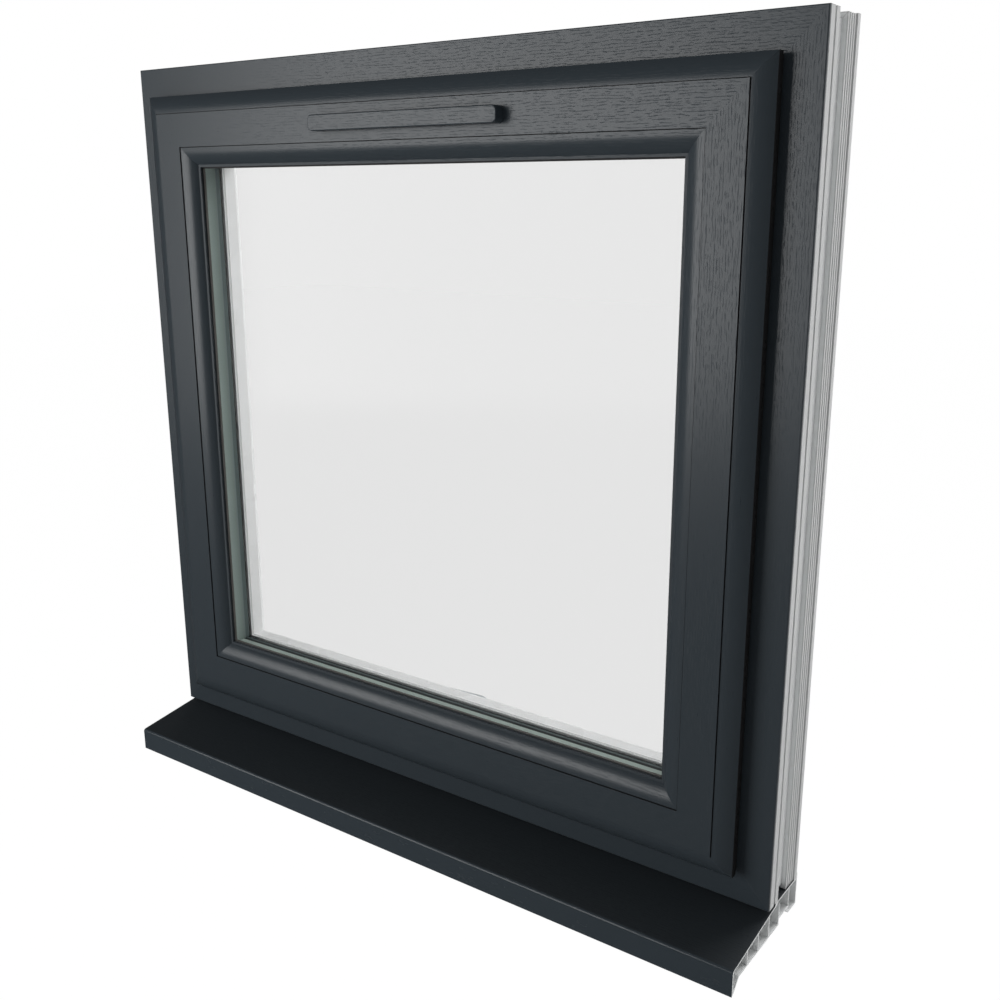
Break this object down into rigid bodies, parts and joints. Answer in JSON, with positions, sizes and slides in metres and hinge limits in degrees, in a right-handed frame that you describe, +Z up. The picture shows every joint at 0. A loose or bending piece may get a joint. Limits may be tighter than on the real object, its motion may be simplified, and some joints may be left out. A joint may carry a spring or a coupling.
{
  "type": "top-hung window",
  "caption": "Top-hung casement window with a woodgrain-foiled frame, a proud ovolo sash, sealed double glazing, a slim trickle vent canopy and a sloping hollow cill with a drip nose.",
  "frame": {"origin": "on the flat underside of the cill, under the middle of the window and in line with the outer face of the frame", "axes": "+X to the right as seen from outside, -Y out of the building, +Z up"},
  "size_m": [0.825, 0.1571, 0.838],
  "materials": {
    "foil_profile": "woodgrain foil outside, smooth white inside",
    "white_bead": "smooth satin white",
    "clear_glass": "clear float glass",
    "spacer": "matt black warm edge spacer",
    "edge_sealant": "dark butyl sealant",
    "seal_rubber": "matt dark rubber",
    "packer_plastic": "plain moulded plastic",
    "canopy_foil": "woodgrain foil",
    "white_vent": "smooth satin white",
    "white_handle": "satin white powder coat",
    "steel": "brushed stainless steel",
    "zinc": "zinc plated steel"
  },
  "bodies": {
    "root": {"cill": "foil_profile", "frame_bottom_rail": "foil_profile", "frame_head": "foil_profile", "frame_jamb_left": "foil_profile", "frame_jamb_right": "foil_profile", "frame_weather_seal": "seal_rubber", "glass_edge_seal": "edge_sealant", "glass_pane_inner": "clear_glass", "glass_pane_outer": "clear_glass", "glass_spacer_bar": "spacer", "glazing_bead_bottom": "white_bead", "glazing_bead_left": "white_bead", "glazing_bead_right": "white_bead", "glazing_bead_top": "white_bead", "glazing_gasket_inner": "seal_rubber", "glazing_gasket_outer": "seal_rubber", "glazing_packers": "packer_plastic", "handle_base": "white_handle", "handle_lever": "white_handle", "lock_keep_left": "zinc", "lock_keep_right": "zinc", "lock_rod": "zinc", "sash_bottom_rail": "foil_profile", "sash_inner_seal": "seal_rubber", "sash_stile_left": "foil_profile", "sash_stile_right": "foil_profile", "sash_top_rail": "foil_profile", "stay_arm_left": "steel", "stay_arm_right": "steel", "stay_sash_bar_left": "steel", "stay_sash_bar_right": "steel", "stay_track_left": "steel", "stay_track_right": "steel", "vent_canopy": "canopy_foil", "vent_inner_body": "white_vent", "vent_inner_flap": "white_vent"}
  },
  "joints": []
}
